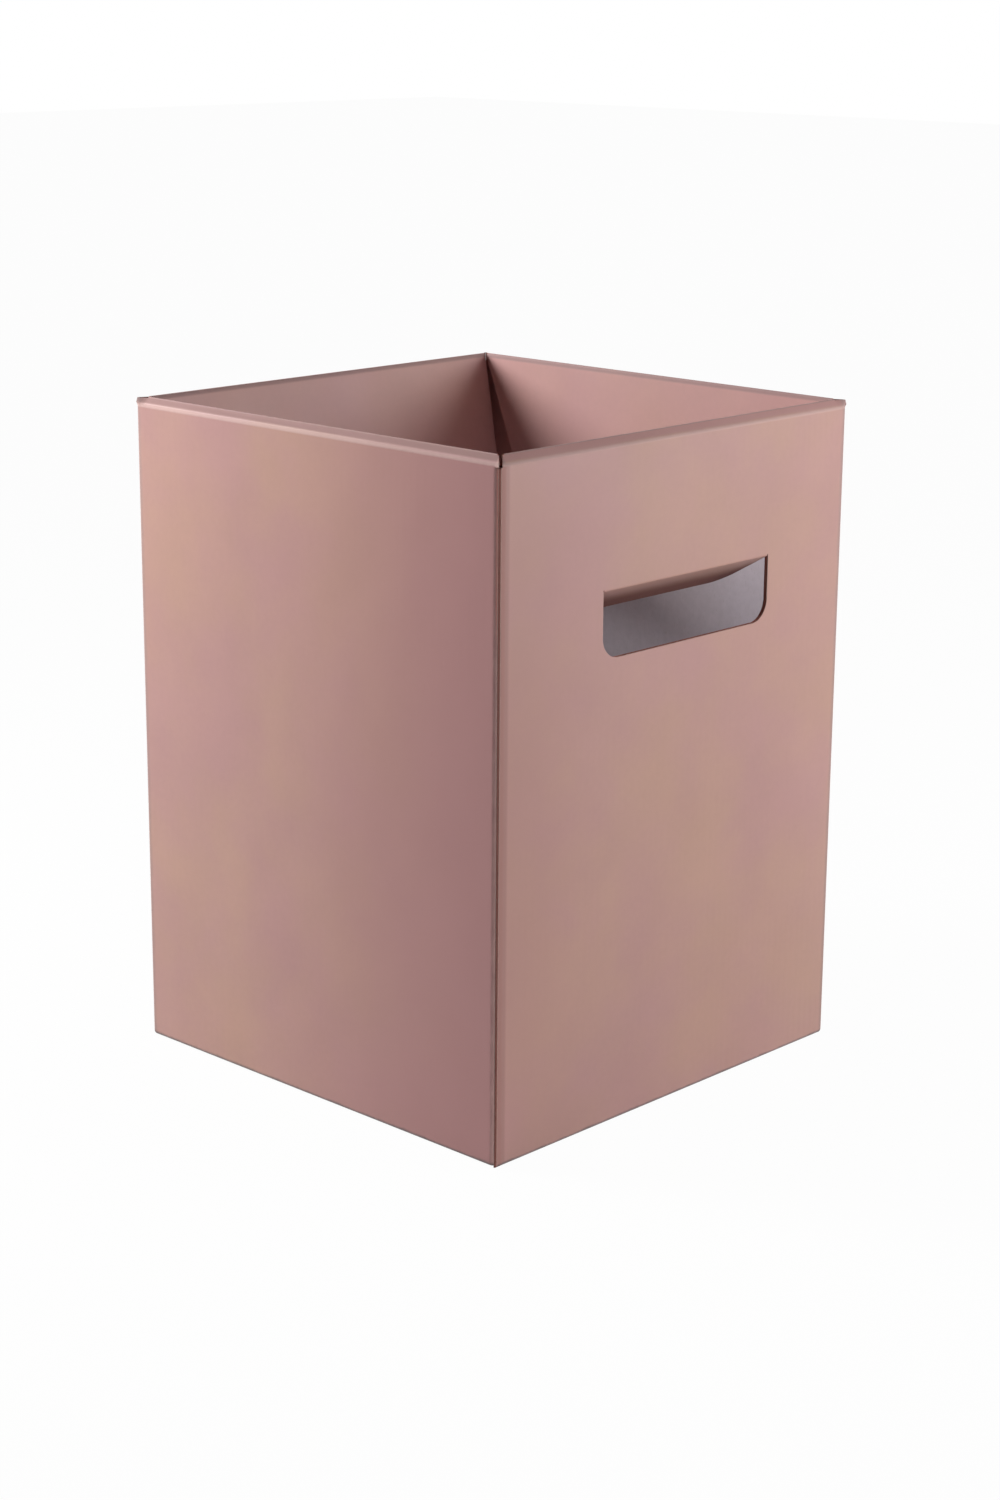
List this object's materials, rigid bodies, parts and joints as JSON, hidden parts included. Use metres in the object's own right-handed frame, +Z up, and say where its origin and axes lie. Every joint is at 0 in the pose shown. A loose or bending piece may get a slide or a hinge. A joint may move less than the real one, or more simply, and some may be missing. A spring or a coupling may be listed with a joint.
{
  "type": "open cardboard box",
  "caption": "Open-topped carton, square in plan, with a rolled rim, turned-in top flaps, a crash-lock base and a hand hole with a push-in flap in two facing walls.",
  "frame": {"origin": "centre of the base, on the surface that the carton stands on", "axes": "+Z up; the walls with hand holes face -Y, the front, and +Y, the back; the plain walls face -X and +X; the glued side seam is at the corner between -X and -Y"},
  "size_m": [0.186, 0.186, 0.25],
  "materials": {
    "board": "satin laminated print, dusty rose",
    "top_flaps": "satin laminated print, dusty rose",
    "hand_flaps": "satin laminated print, dusty rose"
  },
  "bodies": {
    "carton": {"carton": "board"},
    "top_flap_front": {"top_flap_front": "top_flaps"},
    "top_flap_right": {"top_flap_right": "top_flaps"},
    "top_flap_back": {"top_flap_back": "top_flaps"},
    "top_flap_left": {"top_flap_left": "top_flaps"},
    "hand_flap_front": {"hand_flap_front": "hand_flaps"},
    "hand_flap_back": {"hand_flap_back": "hand_flaps"}
  },
  "joints": [
    {"name": "top_flap_front_fold", "type": "hinge", "parent": "carton", "child": "top_flap_front", "pos_m": [0, -0.08988, 0.2492], "axis": [1, 0, 0], "range_deg": [-11, 166]},
    {"name": "top_flap_right_fold", "type": "hinge", "parent": "carton", "child": "top_flap_right", "pos_m": [0.08988, 0, 0.2492], "axis": [0, 1, 0], "range_deg": [0, 177]},
    {"name": "top_flap_back_fold", "type": "hinge", "parent": "carton", "child": "top_flap_back", "pos_m": [0, 0.08988, 0.2492], "axis": [-1, 0, 0], "range_deg": [-11, 166]},
    {"name": "top_flap_left_fold", "type": "hinge", "parent": "carton", "child": "top_flap_left", "pos_m": [-0.08988, 0, 0.2492], "axis": [0, -1, 0], "range_deg": [0, 177]},
    {"name": "hand_flap_front_fold", "type": "hinge", "parent": "carton", "child": "hand_flap_front", "pos_m": [0.0035, -0.0922, 0.1977], "axis": [1, 0, 0], "range_deg": [-60, 40]},
    {"name": "hand_flap_back_fold", "type": "hinge", "parent": "carton", "child": "hand_flap_back", "pos_m": [-0.0035, 0.0922, 0.1977], "axis": [-1, 0, 0], "range_deg": [-60, 40]}
  ]
}
